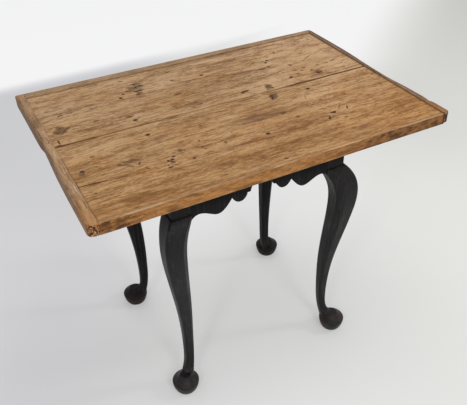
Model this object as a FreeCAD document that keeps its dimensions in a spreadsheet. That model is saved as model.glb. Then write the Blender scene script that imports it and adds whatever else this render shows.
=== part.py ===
import FreeCAD, Part
import os
import Sketcher
from FreeCAD import Placement, Rotation, Vector

# Tray top tea table: two pine boards inside a low raised rim, nailed down on a
# frame of four scalloped aprons tenoned into four cabriole legs on pad feet.
# Millimetres. X runs along the table, -Y is its front, Z is up from the floor,
# and the origin is on the floor under the middle of the top.

# ---------------------------------------------------------------- sizes
SIZES = {
    # the whole table
    "table_length": 831.0,
    "table_depth": 567.0,
    "table_height": 677.0,
    # tray top
    "board_thickness": 23.0,
    "seam_offset": 9.0,
    "seam_gap": 0.8,
    "rim_proud": 4.0,
    "seam_arris_radius": 1.0,
    "left_rim_width": 22.0,
    "right_rim_width": 14.5,
    "front_rim_width": 9.0,
    "back_rim_width": 24.0,
    "rim_arris_radius": 2.0,
    "rim_inner_bevel": 1.5,
    "left_lower_radius": 1.5,
    "right_lower_radius": 4.0,
    "front_left_corner_radius": 13.0,
    "front_right_corner_radius": 12.0,
    "back_right_corner_radius": 15.0,
    "back_left_corner_radius": 5.0,
    # the top is out of square: how far its right corners lie inside the square
    "front_right_setback": 1.5,
    "back_right_setback": 8.0,
    # how far the ends lie inside the square, from the back corner forwards, where
    # the two boards no longer line up and the edge is worn and chipped
    "left_back_wear": 1.4,
    "left_shoulder_wear": 2.3,
    "left_waist_wear": 0.7,
    "left_chip_wear": 5.2,
    "left_seam_wear": 4.8,
    "left_hollow_wear": 3.5,
    "left_front_wear": 1.2,
    "right_back_wear": 3.2,
    "right_shoulder_wear": 1.8,
    "right_waist_wear": 0.4,
    "right_seam_wear": 4.5,
    "right_hollow_wear": 6.8,
    "right_belly_wear": 8.5,
    "right_front_wear": 3.1,
    "right_neck_wear": 2.5,
    "right_brow_wear": 1.0,
    "right_chip_wear": 5.5,
    # drying check in the front board, run in from its left end
    "check_mouth_offset": 153.0,
    "check_tip_offset": 160.0,
    "check_length": 65.0,
    "check_width": 2.5,
    "check_depth": 8.0,
    # dowels in the seam between the boards
    "dowel_diameter": 8.0,
    "dowel_length": 50.0,
    "dowel_margin": 82.0,
    # base frame, measured over the outer faces of the aprons and posts
    "frame_length": 438.0,
    "frame_depth": 349.0,
    "post_width": 45.0,
    "apron_thickness": 20.0,
    # scalloped lower edge of the aprons: drops are measured down from the frame top
    "arch_pole_drop": 108.6,
    "lobe_width": 54.0,
    "lobe_start_run": 4.5,
    "lobe_start_drop": 129.0,
    "lobe_belly_run": 30.0,
    "lobe_belly_drop": 140.0,
    "cusp_drop": 102.0,
    "small_lobe_width": 38.0,
    "small_lobe_drop": 124.0,
    "small_lobe_rise": 1.5,
    "fillet_width": 8.0,
    "fillet_drop": 100.5,
    "centre_arch_drop": 68.0,
    # cabriole template, the same on both faces of a leg: offsets are measured
    # outwards from the face of the post
    "knee_ledge": 4.0,
    "knee_ledge_drop": 110.0,
    "knee_shoulder_offset": 37.5,
    "knee_shoulder_drop": 140.0,
    "knee_crown_offset": 28.5,
    "knee_crown_drop": 243.0,
    "shin_offset": -6.5,
    "shin_height": 230.0,
    "ankle_offset": -9.5,
    "ankle_height": 78.0,
    "instep_offset": -4.5,
    "instep_height": 58.0,
    "toe_offset": 12.0,
    "toe_height": 42.0,
    "post_foot_drop": 126.0,
    "knee_hollow_offset": -26.0,
    "knee_hollow_drop": 156.0,
    "calf_upper_offset": -18.0,
    "calf_upper_drop": 201.0,
    "calf_offset": -34.0,
    "calf_height": 270.0,
    "heel_upper_offset": -32.0,
    "heel_upper_height": 145.0,
    "heel_offset": -29.5,
    "heel_height": 71.0,
    "sole_offset": -16.0,
    "sole_height": 20.0,
    # third template, seen along the diagonal of the leg: half widths over the two
    # side arrises, which are shaved back hardest at the knee
    "shave_top_half": 33.0,
    "shave_shoulder_half": 32.5,
    "shave_shoulder_drop": 131.0,
    "shave_knee_half": 27.5,
    "shave_knee_drop": 151.0,
    "shave_calf_half": 27.0,
    "shave_calf_drop": 222.0,
    "shave_shin_half": 21.0,
    "shave_shin_height": 318.0,
    "shave_ankle_half": 14.2,
    "shave_ankle_height": 185.0,
    "shave_foot_half": 12.8,
    "shave_foot_height": 100.0,
    "shave_base_half": 15.0,
    "shave_arris_radius": 2.0,
    "arris_radius": 6.5,
    # pad foot, turned about its own centre
    "pad_centre_offset": 6.0,
    "pad_base_radius": 24.0,
    "pad_rim_radius": 34.0,
    "pad_rim_height": 30.0,
    "pad_height": 50.0,
    "pad_top_radius": 14.0,
    # mortise and tenon joints
    "tenon_thickness": 8.0,
    "tenon_setback": 6.0,
    "tenon_length": 28.0,
    "tenon_top_drop": 14.0,
    "tenon_height": 94.0,
    "joint_clearance": 0.15,
    "peg_diameter": 6.0,
    "peg_length": 24.0,
    "peg_inset": 12.0,
    "upper_peg_drop": 32.0,
    "lower_peg_drop": 88.0,
    # nails through the boards into the frame
    "nail_diameter": 3.2,
    "nail_point_diameter": 1.2,
    "nail_length": 58.0,
    "nail_head_diameter": 6.0,
    "nail_head_thickness": 1.5,
    "nail_set_depth": 2.5,
    "end_nail_spread": 36.5,
    "mid_nail_offset": 21.5,
    "nail_drift": 5.0,
    "right_nail_shift": 11.0,
    # sprigs through the rim into the edges of the boards
    "sprig_diameter": 2.0,
    "sprig_length": 40.0,
    "end_sprig_inset": 10.0,
    "front_sprig_inset": 1.5,
    "back_sprig_inset": 9.0,
    "end_sprig_margin": 55.0,
    "end_sprig_spread": 75.0,
    "side_sprig_margin": 52.0,
    # glue blocks in the corner between the aprons and the boards
    "block_size": 24.0,
    "block_length": 60.0,
    "block_bevel": 12.0,
    "block_spread": 92.0,
}

# places that follow from the sizes, written as expressions for the document
FRAME_TOP = "(Sheet.table_height - Sheet.rim_proud - Sheet.board_thickness)"
HALF_LENGTH = "(Sheet.table_length / 2)"
HALF_DEPTH = "(Sheet.table_depth / 2)"
HALF_FRAME_LENGTH = "(Sheet.frame_length / 2)"
HALF_FRAME_DEPTH = "(Sheet.frame_depth / 2)"
BOARD_LEFT = f"(Sheet.left_rim_width - {HALF_LENGTH})"
BOARD_RIGHT = f"({HALF_LENGTH} - Sheet.right_rim_width)"
BOARD_FRONT = f"(Sheet.front_rim_width - {HALF_DEPTH})"
BOARD_BACK = f"({HALF_DEPTH} - Sheet.back_rim_width)"
SEAM_FRONT = "(Sheet.seam_offset - Sheet.seam_gap / 2)"
SEAM_BACK = "(Sheet.seam_offset + Sheet.seam_gap / 2)"
BOARD_MIDDLE = f"({FRAME_TOP} + Sheet.board_thickness / 2)"
POST_NAIL_X = f"({HALF_FRAME_LENGTH} - Sheet.post_width / 2)"
POST_NAIL_Y = f"({HALF_FRAME_DEPTH} - Sheet.post_width / 2)"
END_NAIL_X = f"({HALF_FRAME_LENGTH} - Sheet.apron_thickness / 2)"
SIDE_NAIL_Y = f"({HALF_FRAME_DEPTH} - Sheet.apron_thickness / 2)"

SPLINE_DEGREE = 3
POLE_MARK_RADIUS = 5.0      # construction circles that carry a spline's poles
REACH = 400.0               # cuts that run right through a piece
CLOSE = 0.01                # how near an edge lies to its place when it is picked

# worn line of the two ends, from the back corner to the front corner: share of the
# half depth, and the size that says how far the line lies inside the square there
WEAR_LINES = {
    "left": (
        (1, "Sheet.left_back_wear"),
        (0.5, "Sheet.left_shoulder_wear"),
        (0.22, "Sheet.left_waist_wear"),
        (0.14, "Sheet.left_chip_wear"),
        (0.125, "Sheet.left_chip_wear"),
        (0.08, "Sheet.left_seam_wear"),
        (-0.05, "Sheet.left_hollow_wear"),
        (-0.2, "Sheet.left_front_wear"),
        (-0.45, "0"),
        (-0.7, "0"),
        (-0.9, "0"),
        (-1, "0"),
    ),
    "right": (
        (1, "Sheet.right_back_wear"),
        (0.65, "Sheet.right_shoulder_wear"),
        (0.35, "Sheet.right_waist_wear"),
        (0.15, "Sheet.right_seam_wear"),
        (-0.05, "Sheet.right_hollow_wear"),
        (-0.3, "Sheet.right_belly_wear"),
        (-0.45, "Sheet.right_front_wear"),
        (-0.6, "Sheet.right_neck_wear"),
        (-0.73, "Sheet.right_brow_wear"),
        (-0.77, "Sheet.right_chip_wear"),
        (-0.8, "0"),
        (-0.86, "0"),
        (-0.93, "0"),
        (-1, "0"),
    ),
}

doc = FreeCAD.newDocument("TrayTopTeaTable")
sheet = doc.addObject("Spreadsheet::Sheet", "Sheet")
for row, (alias, amount) in enumerate(SIZES.items(), start=1):
    sheet.set(f"A{row}", alias)
    sheet.set(f"B{row}", str(amount))
    sheet.setAlias(f"B{row}", alias)
doc.recompute()

nodes = []


# ---------------------------------------------------------------- sketching
def drop(alias):
    """Height of a point given by its drop below the top of the frame."""
    return f"({FRAME_TOP} - Sheet.{alias})"


def amount_of(item, expression):
    """Present number behind an expression."""
    return float(item.evalExpression(expression))


def new_sketch(body, name, role, offset="0"):
    """Sketch on one of the body's origin planes, moved along that plane's normal."""
    sketch = body.newObject("Sketcher::SketchObject", name)
    plane = next(item for item in body.Origin.OriginFeatures if item.Role == role)
    sketch.AttachmentSupport = [(plane, "")]
    sketch.MapMode = "FlatFace"
    sketch.setExpression("AttachmentOffset.Base.z", offset)
    return sketch


def fix_point(sketch, geometry, end, place):
    """Tie a point of the sketch to its two coordinates."""
    for kind, expression in zip(("DistanceX", "DistanceY"), place):
        index = sketch.addConstraint(Sketcher.Constraint(
            kind, -1, 1, geometry, end, amount_of(sketch, expression)))
        sketch.setExpression(f"Constraints[{index}]", expression)


def add_line(sketch, start, end):
    places = [Vector(*(amount_of(sketch, part) for part in point), 0)
              for point in (start, end)]
    return sketch.addGeometry(Part.LineSegment(*places), False)


def add_spline(sketch, poles):
    """Clamped cubic spline whose poles are all tied to expressions."""
    places = [Vector(*(amount_of(sketch, part) for part in pole), 0) for pole in poles]
    marks = [sketch.addGeometry(Part.Circle(place, Vector(0, 0, 1), POLE_MARK_RADIUS), True)
             for place in places]
    curve = Part.BSplineCurve()
    curve.buildFromPoles(places, False, SPLINE_DEGREE)
    spline = sketch.addGeometry(curve, False)
    for order, mark in enumerate(marks):
        sketch.addConstraint(Sketcher.Constraint(
            "InternalAlignment:Sketcher::BSplineControlPoint", mark, 3, spline, order))
    sketch.addConstraint(Sketcher.Constraint("Weight", marks[0], 1.0))
    for mark in marks[1:]:
        sketch.addConstraint(Sketcher.Constraint("Equal", marks[0], mark))
    for mark, pole in zip(marks, poles):
        fix_point(sketch, mark, 3, pole)
    return spline


def add_outline(sketch, curves):
    """Closed outline: each curve is a list of points, two for a line, more for a spline."""
    drawn = []
    for points in curves:
        is_line = len(points) == 2
        geometry = add_line(sketch, *points) if is_line else add_spline(sketch, points)
        drawn.append((geometry, is_line, points[0]))
    for (previous, after_line, _), (geometry, is_line, start) in zip(drawn[-1:] + drawn[:-1], drawn):
        if is_line or after_line:
            sketch.addConstraint(Sketcher.Constraint("Coincident", previous, 2, geometry, 1))
        if is_line and after_line:
            fix_point(sketch, geometry, 1, start)


def add_polygon(sketch, points):
    add_outline(sketch, [list(pair) for pair in zip(points, points[1:] + points[:1])])


def add_rectangle(sketch, left, bottom, right, top):
    add_polygon(sketch, [(left, bottom), (right, bottom), (right, top), (left, top)])


def add_circle(sketch, centre, diameter):
    place = Vector(*(amount_of(sketch, part) for part in centre), 0)
    radius = amount_of(sketch, diameter) / 2
    circle = sketch.addGeometry(Part.Circle(place, Vector(0, 0, 1), radius), False)
    fix_point(sketch, circle, 3, centre)
    index = sketch.addConstraint(Sketcher.Constraint("Diameter", circle, 2 * radius))
    sketch.setExpression(f"Constraints[{index}]", diameter)


# ---------------------------------------------------------------- features
def new_body(name):
    body = doc.addObject("PartDesign::Body", name)
    body.Label = name
    nodes.append(body)
    return body


def set_length(feature, expression):
    feature.Length = amount_of(feature, expression)
    feature.setExpression("Length", expression)


def add_pad(body, sketch, length, reverse=False, middle=False):
    pad = body.newObject("PartDesign::Pad", sketch.Name + "Pad")
    pad.Profile = sketch
    set_length(pad, length)
    pad.Reversed = reverse
    pad.Midplane = middle
    doc.recompute()
    return pad


def add_pocket(body, sketch, length, reverse=False, middle=False):
    """Pocket that has to take some wood away."""
    before = body.Shape.Volume
    pocket = body.newObject("PartDesign::Pocket", sketch.Name + "Pocket")
    pocket.Profile = sketch
    pocket.Type = "Length"
    set_length(pocket, length)
    pocket.Reversed = reverse
    pocket.Midplane = middle
    doc.recompute()
    if not body.Shape.Volume < before:
        raise RuntimeError(f"{pocket.Name} cuts nothing")
    return pocket


def add_dressing(body, kind, name, wanted, size_name, expression):
    """Fillet or chamfer on the edges that the test wants."""
    base = body.Tip
    edges = [f"Edge{order}" for order, edge in enumerate(base.Shape.Edges, start=1) if wanted(edge)]
    if not edges:
        raise RuntimeError(f"{name} finds no edge")
    dressing = body.newObject(kind, name)
    dressing.Base = (base, edges)
    dressing.setExpression(size_name, expression)
    doc.recompute()
    if "Invalid" in dressing.State:
        raise RuntimeError(f"{name} fails on {len(edges)} edges")
    return dressing


def add_fillet(body, name, wanted, radius):
    return add_dressing(body, "PartDesign::Fillet", name, wanted, "Radius", radius)


def place_body(body, turn, x="0", y="0", z="0"):
    body.Placement = Placement(Vector(), Rotation(Vector(0, 0, 1), turn))
    for axis, expression in zip("xyz", (x, y, z)):
        body.setExpression(f"Placement.Base.{axis}", expression)


# ---------------------------------------------------------------- cabriole legs
def leg_template():
    """Outline of a leg seen square on: post, knee, ankle and heel."""
    post_inside = "-Sheet.post_width"
    outer = [
        ("Sheet.knee_ledge", drop("knee_ledge_drop")),
        ("Sheet.knee_shoulder_offset", drop("knee_shoulder_drop")),
        ("Sheet.knee_crown_offset", drop("knee_crown_drop")),
        ("Sheet.shin_offset", "Sheet.shin_height"),
        ("Sheet.ankle_offset", "Sheet.ankle_height"),
        ("Sheet.instep_offset", "Sheet.instep_height"),
        ("Sheet.toe_offset", "Sheet.toe_height"),
    ]
    inner = [
        ("Sheet.sole_offset", "Sheet.sole_height"),
        ("Sheet.heel_offset", "Sheet.heel_height"),
        ("Sheet.heel_upper_offset", "Sheet.heel_upper_height"),
        ("Sheet.calf_offset", "Sheet.calf_height"),
        ("Sheet.calf_upper_offset", drop("calf_upper_drop")),
        ("Sheet.knee_hollow_offset", drop("knee_hollow_drop")),
        (post_inside, drop("post_foot_drop")),
    ]
    inner_top = (post_inside, FRAME_TOP)
    outer_top = ("0", FRAME_TOP)
    ledge_inside = ("0", drop("knee_ledge_drop"))
    return [
        outer,
        [outer[-1], inner[0]],
        inner,
        [inner[-1], inner_top],
        [inner_top, outer_top],
        [outer_top, ledge_inside],
        [ledge_inside, outer[0]],
    ]


def shave_template():
    """Outline of the wood that stays when the side arrises are shaved, seen from the corner."""
    right = [
        ("Sheet.shave_top_half", drop("knee_ledge_drop")),
        ("Sheet.shave_shoulder_half", drop("shave_shoulder_drop")),
        ("Sheet.shave_knee_half", drop("shave_knee_drop")),
        ("Sheet.shave_calf_half", drop("shave_calf_drop")),
        ("Sheet.shave_shin_half", "Sheet.shave_shin_height"),
        ("Sheet.shave_ankle_half", "Sheet.shave_ankle_height"),
        ("Sheet.shave_foot_half", "Sheet.shave_foot_height"),
        ("Sheet.shave_base_half", "0"),
    ]
    left = [(f"-{half}", height) for half, height in reversed(right)]
    right_top = (right[0][0], f"({FRAME_TOP} + Sheet.post_width)")
    left_top = (left[-1][0], right_top[1])
    return [
        right,
        [right[-1], left[0]],
        left,
        [left[-1], left_top],
        [left_top, right_top],
        [right_top, right[0]],
    ]


def is_long(edge):
    """The arrises that run down the whole curved part of a leg."""
    curved = edge.Curve.TypeId == "Part::GeomBSplineCurve"
    return curved and edge.BoundBox.ZLength > SIZES["calf_height"]


def is_corner_arris(edge):
    """Arrises at the outermost and innermost corner of a leg's square section."""
    middle = edge.CenterOfMass
    return is_long(edge) and abs(middle.x - middle.y) < SIZES["arris_radius"] / 2


def is_side_arris(edge):
    """Arrises on both borders of the two shaved faces."""
    middle = edge.CenterOfMass
    return is_long(edge) and abs(middle.x - middle.y) > SIZES["arris_radius"] * 2


def add_pad_foot(body):
    """Turned pad: a small base, a wide rim and a low dome under the ankle."""
    sketch = new_sketch(body, body.Name + "Foot", "XZ_Plane", "-Sheet.pad_centre_offset")
    sketch.setExpression("AttachmentOffset.Base.x", "Sheet.pad_centre_offset")
    rim = ("Sheet.pad_rim_radius", "Sheet.pad_rim_height")
    base = ("Sheet.pad_base_radius", "0")
    neck = ("Sheet.pad_top_radius", "Sheet.pad_height")
    overhang = "(Sheet.pad_rim_radius - Sheet.pad_base_radius)"
    under = [base,
             (f"Sheet.pad_base_radius + {overhang} * 0.25", "0"),
             ("Sheet.pad_rim_radius", "Sheet.pad_rim_height * 0.55"),
             rim]
    rise = "(Sheet.pad_height - Sheet.pad_rim_height)"
    run = "(Sheet.pad_rim_radius - Sheet.pad_top_radius)"
    dome = [rim,
            (f"Sheet.pad_rim_radius - {run} * 0.05", f"Sheet.pad_rim_height + {rise} * 0.2"),
            (f"Sheet.pad_rim_radius - {run} * 0.6", f"Sheet.pad_rim_height + {rise} * 0.35"),
            neck]
    floor_middle = ("0", "0")
    top_middle = ("0", "Sheet.pad_height")
    add_outline(sketch, [under, dome, [neck, top_middle], [top_middle, floor_middle], [floor_middle, base]])
    foot = body.newObject("PartDesign::Revolution", body.Name + "PadFoot")
    foot.Profile = sketch
    foot.ReferenceAxis = (sketch, ["V_Axis"])
    foot.Angle = 360.0
    doc.recompute()


def add_post_cuts(body):
    """Mortises, peg holes and the nail hole in the post, in both inner faces alike."""
    clearance = "Sheet.joint_clearance"
    near = f"-(Sheet.tenon_setback - {clearance})"
    far = f"-(Sheet.tenon_setback + Sheet.tenon_thickness + {clearance})"
    low = f"({FRAME_TOP} - Sheet.tenon_top_drop - Sheet.tenon_height - {clearance})"
    high = f"({FRAME_TOP} - Sheet.tenon_top_drop + {clearance})"
    depth = f"Sheet.tenon_length + 2 * {clearance}"
    peg_place = "(Sheet.peg_inset - Sheet.post_width)"
    for role, side, sense in (("YZ_Plane", "X", 1), ("XZ_Plane", "Y", -1)):
        mortise = new_sketch(body, f"{body.Name}Mortise{side}", role, f"{sense} * -Sheet.post_width")
        add_rectangle(mortise, far, low, near, high)
        add_pocket(body, mortise, depth, reverse=sense > 0)
    for role, side, sense in (("XZ_Plane", "X", -1), ("YZ_Plane", "Y", 1)):
        holes = new_sketch(body, f"{body.Name}PegHoles{side}", role)
        for height in (drop("upper_peg_drop"), drop("lower_peg_drop")):
            add_circle(holes, (peg_place, height), f"Sheet.peg_diameter + {clearance}")
        add_pocket(body, holes, f"Sheet.peg_length + {clearance}", reverse=sense < 0)
    nail_hole = new_sketch(body, body.Name + "NailHole", "XY_Plane", FRAME_TOP)
    middle = "(-Sheet.post_width / 2)"
    add_circle(nail_hole, (middle, middle), f"Sheet.nail_diameter + {clearance}")
    add_pocket(body, nail_hole, "Sheet.nail_length - Sheet.board_thickness + Sheet.nail_set_depth")


def make_leg(name, turn, x, y):
    """One leg, sawn to the template from two faces, with its arrises rounded over."""
    body = new_body(name)
    first_face = new_sketch(body, name + "FrontFace", "XZ_Plane")
    add_outline(first_face, leg_template())
    add_pad(body, first_face, f"{REACH}", middle=True)
    second_face = new_sketch(body, name + "SideFace", "YZ_Plane")
    add_outline(second_face, leg_template())
    waste = f"{REACH}"
    add_rectangle(second_face, f"-{waste}", f"-{waste}", waste, f"{FRAME_TOP} + {waste}")
    add_pocket(body, second_face, f"2 * {REACH}", middle=True)
    corner_view = new_sketch(body, name + "CornerView", "XZ_Plane")
    corner_view.AttachmentOffset = Placement(Vector(), Rotation(Vector(0, 1, 0), -45))
    add_outline(corner_view, shave_template())
    add_rectangle(corner_view, f"-{waste}", f"-{waste}", waste, f"{FRAME_TOP} + {waste}")
    add_pocket(body, corner_view, f"2 * {REACH}", middle=True)
    add_fillet(body, name + "CornerArrises", is_corner_arris, "Sheet.arris_radius")
    add_fillet(body, name + "SideArrises", is_side_arris, "Sheet.shave_arris_radius")
    add_pad_foot(body)
    add_post_cuts(body)
    place_body(body, turn, x, y)


# ---------------------------------------------------------------- aprons
def apron_edge(half_run, with_small_lobe):
    """Right half of an apron's lower edge, from the middle out to the leg."""
    taken = "Sheet.lobe_width"
    if with_small_lobe:
        taken += " + Sheet.small_lobe_width + Sheet.fillet_width"
    spare = f"({half_run} - ({taken}))"
    arch_run = f"({spare} * 0.6)"
    lobe_start = f"({half_run} - {arch_run})"
    cusp = (f"({lobe_start} - Sheet.lobe_width)", drop("cusp_drop"))
    lobe = [
        cusp,
        (f"({lobe_start} - Sheet.lobe_belly_run)", drop("lobe_belly_drop")),
        (f"({lobe_start} - Sheet.lobe_start_run)", drop("lobe_start_drop")),
        (f"({half_run} - {arch_run} / 3)", drop("arch_pole_drop")),
        (half_run, drop("post_foot_drop")),
    ]
    crown = ("0", drop("centre_arch_drop"))
    if not with_small_lobe:
        arch = [crown,
                (f"({cusp[0]} * 0.5)", drop("centre_arch_drop")),
                (f"({cusp[0]} * 0.85)", f"({drop('centre_arch_drop')} + {cusp[1]}) / 2"),
                cusp]
        return [arch, lobe]
    fillet_end = f"({cusp[0]} - Sheet.small_lobe_width)"
    small_end = (fillet_end, f"({cusp[1]} - Sheet.small_lobe_rise)")
    small_lobe = [
        small_end,
        (f"({fillet_end} + Sheet.small_lobe_width * 0.2)", drop("small_lobe_drop")),
        (f"({fillet_end} + Sheet.small_lobe_width * 0.75)", drop("small_lobe_drop")),
        cusp,
    ]
    fillet_low = (fillet_end, drop("fillet_drop"))
    fillet_high = (f"({fillet_end} - Sheet.fillet_width)", drop("fillet_drop"))
    arch = [crown,
            (f"({fillet_high[0]} * 0.5)", drop("centre_arch_drop")),
            (f"({fillet_high[0]} * 0.9)", f"({drop('centre_arch_drop')} + {fillet_high[1]}) / 2"),
            fillet_high]
    return [arch, [fillet_high, fillet_low], [fillet_low, small_end], small_lobe, lobe]


def mirrored(curves):
    """The same curves on the other side of the middle, drawn the other way round."""
    return [[(f"-({x})", z) for x, z in reversed(points)] for points in reversed(curves)]


def make_apron(name, turn, x, y, half_frame, with_small_lobe):
    """Apron with its outer face on y = 0, a tenon at each end and peg holes."""
    body = new_body(name)
    half_run = f"({half_frame} - Sheet.post_width)"
    right_half = apron_edge(half_run, with_small_lobe)
    left_half = mirrored(right_half)
    right_top = (half_run, FRAME_TOP)
    left_top = (f"-({half_run})", FRAME_TOP)
    board = new_sketch(body, name + "Outline", "XZ_Plane")
    add_outline(board, left_half + right_half + [
        [right_half[-1][-1], right_top], [right_top, left_top], [left_top, left_half[0][0]]])
    add_pad(body, board, "Sheet.apron_thickness", reverse=True)
    low = f"({FRAME_TOP} - Sheet.tenon_top_drop - Sheet.tenon_height)"
    high = f"({FRAME_TOP} - Sheet.tenon_top_drop)"
    tenons = new_sketch(body, name + "Tenons", "XZ_Plane", "-Sheet.tenon_setback")
    for side in ("-", ""):
        root = f"{side}({half_run} - Sheet.tenon_length)"
        add_rectangle(tenons, root, low, f"{side}({half_run} + Sheet.tenon_length)", high)
    add_pad(body, tenons, "Sheet.tenon_thickness", reverse=True)
    holes = new_sketch(body, name + "PegHoles", "XZ_Plane")
    for side in ("-", ""):
        for height in (drop("upper_peg_drop"), drop("lower_peg_drop")):
            place = (f"{side}({half_run} + Sheet.peg_inset)", height)
            add_circle(holes, place, "Sheet.peg_diameter + Sheet.joint_clearance")
    add_pocket(body, holes, "Sheet.apron_thickness")
    place_body(body, turn, x, y)
    return body


def add_apron_nail_holes(body, places):
    holes = new_sketch(body, body.Name + "NailHoles", "XY_Plane", FRAME_TOP)
    for place in places:
        add_circle(holes, place, "Sheet.nail_diameter + Sheet.joint_clearance")
    add_pocket(body, holes, "Sheet.nail_length - Sheet.board_thickness + Sheet.nail_set_depth")


# ---------------------------------------------------------------- tray top
def nail_places(front):
    """Nails through one board: two posts, two end aprons and one long apron."""
    sign = "-" if front else ""
    return [
        (f"-{POST_NAIL_X}", f"{sign}{POST_NAIL_Y}"),
        (POST_NAIL_X, f"{sign}{POST_NAIL_Y}"),
        (f"(Sheet.nail_drift - {END_NAIL_X})", f"{sign}Sheet.end_nail_spread"),
        (END_NAIL_X, f"(Sheet.right_nail_shift {sign or '+'} Sheet.end_nail_spread)"),
        ("Sheet.mid_nail_offset", f"(Sheet.nail_drift {sign or '+'} {SIDE_NAIL_Y})"),
    ]


def spread_evenly(count, outermost):
    """Places either side of the middle, the last ones at the given distance from it."""
    fractions = [2 * order / (count - 1) - 1 for order in range(count)]
    return [f"({fraction} * {outermost})" for fraction in fractions]


def dowel_places():
    return spread_evenly(4, f"({HALF_LENGTH} - Sheet.dowel_margin)")


def end_sprig_places():
    """Where the end rims are sprigged: two sprigs into each board."""
    outer = f"({HALF_DEPTH} - Sheet.end_sprig_margin)"
    return [f"-{outer}", "-Sheet.end_sprig_spread", "Sheet.end_sprig_spread", outer]


def side_sprig_places():
    return spread_evenly(5, f"({HALF_LENGTH} - Sheet.side_sprig_margin)")


def make_board(name, front):
    body = new_body(name)
    y_low, y_high = (BOARD_FRONT, SEAM_FRONT) if front else (SEAM_BACK, BOARD_BACK)
    outline = new_sketch(body, name + "Outline", "XY_Plane", FRAME_TOP)
    add_rectangle(outline, BOARD_LEFT, y_low, BOARD_RIGHT, y_high)
    add_pad(body, outline, "Sheet.board_thickness")
    clearance = "Sheet.joint_clearance"
    top = f"({FRAME_TOP} + Sheet.board_thickness)"
    shanks = new_sketch(body, name + "NailHoles", "XY_Plane", top)
    heads = new_sketch(body, name + "HeadHoles", "XY_Plane", top)
    for place in nail_places(front):
        add_circle(shanks, place, f"Sheet.nail_diameter + {clearance}")
        add_circle(heads, place, f"Sheet.nail_head_diameter + {clearance}")
    add_pocket(body, shanks, "Sheet.board_thickness")
    add_pocket(body, heads, "Sheet.nail_set_depth + Sheet.nail_head_thickness")
    seam = SEAM_FRONT if front else SEAM_BACK
    dowel_holes = new_sketch(body, name + "DowelHoles", "XZ_Plane", f"-{seam}")
    for place in dowel_places():
        add_circle(dowel_holes, (place, BOARD_MIDDLE), f"Sheet.dowel_diameter + {clearance}")
    depth = f"(Sheet.dowel_length - Sheet.seam_gap) / 2 + {clearance}"
    add_pocket(body, dowel_holes, depth, reverse=front)
    add_board_sprig_holes(body, front)
    if front:
        add_check(body, top)
    add_fillet(body, name + "SeamArris", is_seam_arris, "Sheet.seam_arris_radius")


def add_check(body, top):
    """Wedge shaped drying check that runs in from the left end."""
    outline = new_sketch(body, body.Name + "Check", "XY_Plane", top)
    add_polygon(outline, [
        (BOARD_LEFT, "-(Sheet.check_mouth_offset + Sheet.check_width / 2)"),
        (f"({BOARD_LEFT} + Sheet.check_length)", "-Sheet.check_tip_offset"),
        (BOARD_LEFT, "-(Sheet.check_mouth_offset - Sheet.check_width / 2)"),
    ])
    add_pocket(body, outline, "Sheet.check_depth")


def is_seam_arris(edge):
    """Test for the upper edge of a board along the seam."""
    box = edge.BoundBox
    at_top = abs(box.ZMin - (SIZES["table_height"] - SIZES["rim_proud"])) < CLOSE and box.ZLength < CLOSE
    at_seam = abs(edge.CenterOfMass.y - SIZES["seam_offset"]) < SIZES["seam_gap"] and box.YLength < CLOSE
    return at_top and at_seam


def add_board_sprig_holes(body, front):
    """Holes for the sprigs of the long rim and of both end rims."""
    clearance = "Sheet.joint_clearance"
    edge = BOARD_FRONT if front else BOARD_BACK
    side = "front" if front else "back"
    holes = new_sketch(body, body.Name + "SideSprigHoles", "XZ_Plane", f"-{edge}")
    for place in side_sprig_places():
        add_circle(holes, (place, BOARD_MIDDLE), f"Sheet.sprig_diameter + {clearance}")
    add_pocket(body, holes, sprig_reach(side), reverse=not front)
    places = end_sprig_places()[:2] if front else end_sprig_places()[2:]
    for side, edge in (("left", BOARD_LEFT), ("right", BOARD_RIGHT)):
        holes = new_sketch(body, f"{body.Name}{side.title()}SprigHoles", "YZ_Plane", edge)
        for place in places:
            add_circle(holes, (place, BOARD_MIDDLE), f"Sheet.sprig_diameter + {clearance}")
        add_pocket(body, holes, sprig_reach(side), reverse=side == "left")


def sprig_reach(side):
    """Depth of the sprig holes in the edge of a board behind the rim of this side."""
    end = "end" if side in ("left", "right") else side
    inset = f"Sheet.{end}_sprig_inset"
    return f"Sheet.sprig_length + {inset} - Sheet.{side}_rim_width + Sheet.joint_clearance"


def side_line(side, x):
    """Outer line of the front or back of the top, out of square, at this place along it."""
    sign = "-" if side == "front" else ""
    return f"{sign}({HALF_DEPTH} - Sheet.{side}_right_setback * ({x} + {HALF_LENGTH}) / Sheet.table_length)"


def worn_line(side):
    """Outer line of the left or right end, from the back corner to the front corner."""
    sign = "-" if side == "left" else ""
    corner = f"({sign}{HALF_LENGTH})"
    poles = [(f"{sign}({HALF_LENGTH} - {wear})", f"({share} * {HALF_DEPTH})")
             for share, wear in WEAR_LINES[side]]
    poles[0] = (poles[0][0], side_line("back", corner))
    poles[-1] = (poles[-1][0], side_line("front", corner))
    return poles


def is_top_of_rim(edge):
    box = edge.BoundBox
    return abs(box.ZMin - SIZES["table_height"]) < CLOSE and box.ZLength < CLOSE


def is_inner_top(along_x, inside):
    """Test for the upper edge of a rim towards the field of the tray."""
    def test(edge):
        box = edge.BoundBox
        across = (box.YMin, box.YMax) if along_x else (box.XMin, box.XMax)
        return is_top_of_rim(edge) and all(abs(abs(place) - inside) < CLOSE for place in across)
    return test


def is_outer_top(along_x, inside):
    """Test for the outer upper arris of a rim, on an end rim round its corners as well."""
    def test(edge):
        middle = edge.CenterOfMass
        box = edge.BoundBox
        if along_x:
            return is_top_of_rim(edge) and box.XLength > box.YLength and abs(middle.y) > inside
        return is_top_of_rim(edge) and abs(middle.x) > inside
    return test


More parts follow.
